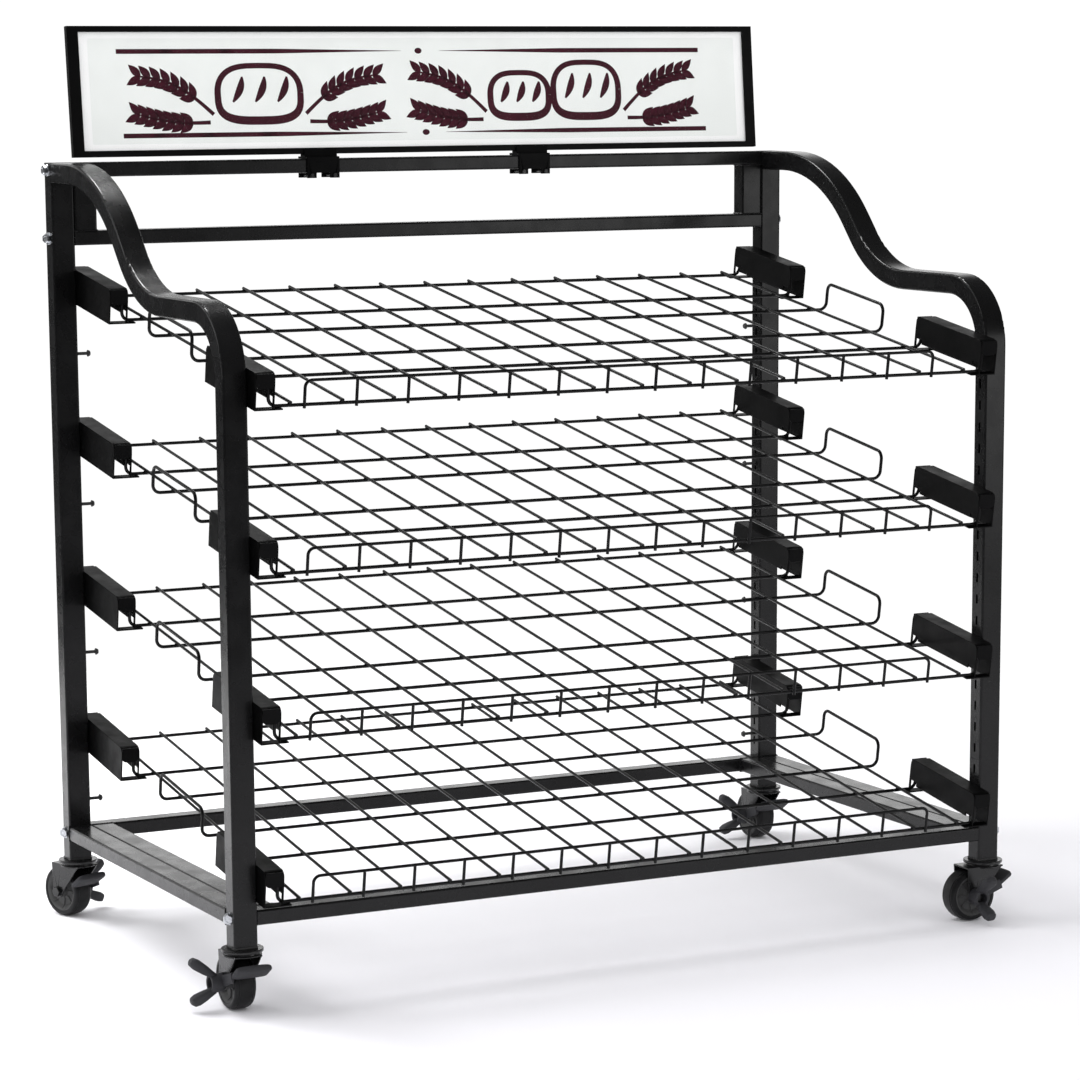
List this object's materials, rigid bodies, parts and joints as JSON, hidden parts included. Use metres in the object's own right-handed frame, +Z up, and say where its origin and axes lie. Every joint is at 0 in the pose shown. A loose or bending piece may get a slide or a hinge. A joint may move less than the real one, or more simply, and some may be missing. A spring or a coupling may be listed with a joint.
{
  "type": "bread rack",
  "caption": "Free-standing bakery rack: sloping wire shelves on folded brackets in a bent-tube frame, with a leaning sign on top and swivel casters with brake levers.",
  "frame": {"origin": "on the floor, midway between the posts left to right and front to back", "axes": "+Z up; +X to the right for someone facing the shelves; the shelves slope down to the front, which is -Y"},
  "size_m": [1.3451, 0.8068, 1.3666],
  "materials": {
    "tube_coat": "black powder coat, semi-gloss",
    "shelf_wire": "black powder coat on round wire",
    "bracket_coat": "black powder coat on folded sheet",
    "zinc": "bright zinc plate",
    "fork_coat": "black-lacquered pressed steel",
    "black_plastic": "fine matt",
    "lever_plastic": "moulded, lightly textured",
    "wheel_plastic": "moulded",
    "tyre": "smooth grey-black tread",
    "sign_trim": "black lacquered frame bars",
    "sign_backing": "white backing sheet",
    "sign_clip": "black moulded clip",
    "clear_cover": "thin clear anti-glare sheet",
    "sign_print": "printed sheet: pale ground with maroon ornament"
  },
  "bodies": {
    "rack": {"left_side_tube": "tube_coat", "right_side_tube": "tube_coat", "left_rear_post": "tube_coat", "right_rear_post": "tube_coat", "left_bottom_rail": "tube_coat", "right_bottom_rail": "tube_coat", "base_left_rail": "tube_coat", "base_right_rail": "tube_coat", "base_front_rail": "tube_coat", "base_rear_rail": "tube_coat", "header_top_rail": "tube_coat", "header_lower_rail": "tube_coat", "header_uprights": "tube_coat", "shelf_1_frame_wires": "shelf_wire", "shelf_1_cross_wires": "shelf_wire", "shelf_1_front_guard": "shelf_wire", "shelf_2_frame_wires": "shelf_wire", "shelf_2_cross_wires": "shelf_wire", "shelf_2_front_guard": "shelf_wire", "shelf_3_frame_wires": "shelf_wire", "shelf_3_cross_wires": "shelf_wire", "shelf_3_front_guard": "shelf_wire", "shelf_4_frame_wires": "shelf_wire", "shelf_4_cross_wires": "shelf_wire", "shelf_4_front_guard": "shelf_wire", "shelf_brackets": "bracket_coat", "frame_bolts": "zinc", "frame_washers": "zinc", "rail_end_nuts": "zinc", "post_caps": "black_plastic", "hanging_pegs": "black_plastic", "sign_frame": "sign_trim", "sign_cover": "clear_cover", "sign_panel": "sign_print", "sign_back": "sign_backing", "sign_clips": "sign_clip", "clip_screws": "fork_coat", "caster_sockets": "black_plastic", "caster_stems": "fork_coat"},
    "front_left_swivel": {"front_left_fork": "fork_coat", "front_left_axle": "zinc"},
    "front_left_wheel": {"front_left_wheel": "wheel_plastic", "front_left_tyre": "tyre"},
    "front_left_lever": {"front_left_brake_lever": "lever_plastic"},
    "front_right_swivel": {"front_right_fork": "fork_coat", "front_right_axle": "zinc"},
    "front_right_wheel": {"front_right_wheel": "wheel_plastic", "front_right_tyre": "tyre"},
    "front_right_lever": {"front_right_brake_lever": "lever_plastic"},
    "rear_left_swivel": {"rear_left_fork": "fork_coat", "rear_left_axle": "zinc"},
    "rear_left_wheel": {"rear_left_wheel": "wheel_plastic", "rear_left_tyre": "tyre"},
    "rear_left_lever": {"rear_left_brake_lever": "lever_plastic"},
    "rear_right_swivel": {"rear_right_fork": "fork_coat", "rear_right_axle": "zinc"},
    "rear_right_wheel": {"rear_right_wheel": "wheel_plastic", "rear_right_tyre": "tyre"},
    "rear_right_lever": {"rear_right_brake_lever": "lever_plastic"}
  },
  "joints": [
    {"name": "front_left_swivel_turn", "type": "hinge", "parent": "rack", "child": "front_left_swivel", "pos_m": [-0.617, -0.335, 0.09], "axis": [0, 0, 1], "continuous": true},
    {"name": "front_left_roll", "type": "hinge", "parent": "front_left_swivel", "child": "front_left_wheel", "pos_m": [-0.617, -0.309, 0.04], "axis": [1, 0, 0], "continuous": true},
    {"name": "front_left_brake", "type": "hinge", "parent": "front_left_swivel", "child": "front_left_lever", "pos_m": [-0.617, -0.309, 0.04], "axis": [1, 0, 0], "range_deg": [0, 14]},
    {"name": "front_right_swivel_turn", "type": "hinge", "parent": "rack", "child": "front_right_swivel", "pos_m": [0.617, -0.335, 0.09], "axis": [0, 0, 1], "continuous": true},
    {"name": "front_right_roll", "type": "hinge", "parent": "front_right_swivel", "child": "front_right_wheel", "pos_m": [0.591, -0.335, 0.04], "axis": [0, 1, 0], "continuous": true},
    {"name": "front_right_brake", "type": "hinge", "parent": "front_right_swivel", "child": "front_right_lever", "pos_m": [0.591, -0.335, 0.04], "axis": [0, 1, 0], "range_deg": [0, 14]},
    {"name": "rear_left_swivel_turn", "type": "hinge", "parent": "rack", "child": "rear_left_swivel", "pos_m": [-0.617, 0.335, 0.09], "axis": [0, 0, 1], "continuous": true},
    {"name": "rear_left_roll", "type": "hinge", "parent": "rear_left_swivel", "child": "rear_left_wheel", "pos_m": [-0.62589, 0.35943, 0.04], "axis": [0.9397, 0.342, 0], "continuous": true},
    {"name": "rear_left_brake", "type": "hinge", "parent": "rear_left_swivel", "child": "rear_left_lever", "pos_m": [-0.62589, 0.35943, 0.04], "axis": [0.9397, 0.342, 0], "range_deg": [0, 14]},
    {"name": "rear_right_swivel_turn", "type": "hinge", "parent": "rack", "child": "rear_right_swivel", "pos_m": [0.617, 0.335, 0.09], "axis": [0, 0, 1], "continuous": true},
    {"name": "rear_right_roll", "type": "hinge", "parent": "rear_right_swivel", "child": "rear_right_wheel", "pos_m": [0.617, 0.361, 0.04], "axis": [1, 0, 0], "continuous": true},
    {"name": "rear_right_brake", "type": "hinge", "parent": "rear_right_swivel", "child": "rear_right_lever", "pos_m": [0.617, 0.361, 0.04], "axis": [1, 0, 0], "range_deg": [0, 14]}
  ]
}
